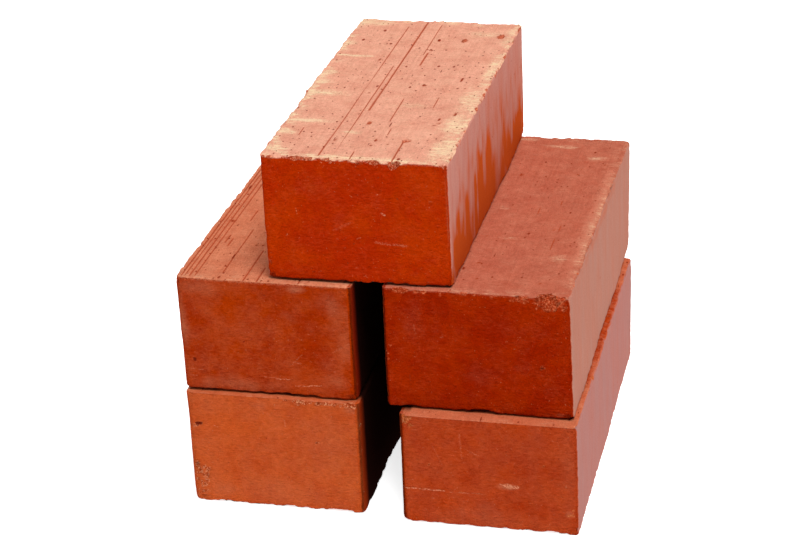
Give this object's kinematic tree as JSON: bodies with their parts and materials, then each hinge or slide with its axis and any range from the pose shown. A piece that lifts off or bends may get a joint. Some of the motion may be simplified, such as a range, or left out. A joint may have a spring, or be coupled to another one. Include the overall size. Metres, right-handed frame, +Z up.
{
  "type": "dry-laid clay brick stack",
  "caption": "Free-standing dry stack of solid wire-cut clay bricks: two short columns bridged by one brick laid across both, each brick a separate piece that lifts off.",
  "frame": {"origin": "centre of the stack's footprint, on the ground", "axes": "+Y along the bricks from their front ends to their back ends, +X to the right, +Z up"},
  "size_m": [0.2228, 0.2386, 0.21],
  "materials": {
    "fired_clay": "matte"
  },
  "bodies": {
    "bottom_pair": {"bottom_left_brick": "fired_clay", "bottom_right_brick": "fired_clay"},
    "middle_left": {"middle_left_brick": "fired_clay"},
    "middle_right": {"middle_right_brick": "fired_clay"},
    "top": {"top_brick": "fired_clay"}
  },
  "joints": [
    {"name": "middle_left_lift", "type": "slide", "parent": "bottom_pair", "child": "middle_left", "axis": [0, 0, 1], "range_m": [0, 0.1]},
    {"name": "middle_right_lift", "type": "slide", "parent": "bottom_pair", "child": "middle_right", "axis": [0, 0, 1], "range_m": [0, 0.1]},
    {"name": "top_lift", "type": "slide", "parent": "middle_left", "child": "top", "axis": [0, 0, 1], "range_m": [0, 0.1]}
  ],
  "couplings": [
    {"joint": "middle_right_lift", "follows": "middle_left_lift", "ratio": 1}
  ]
}
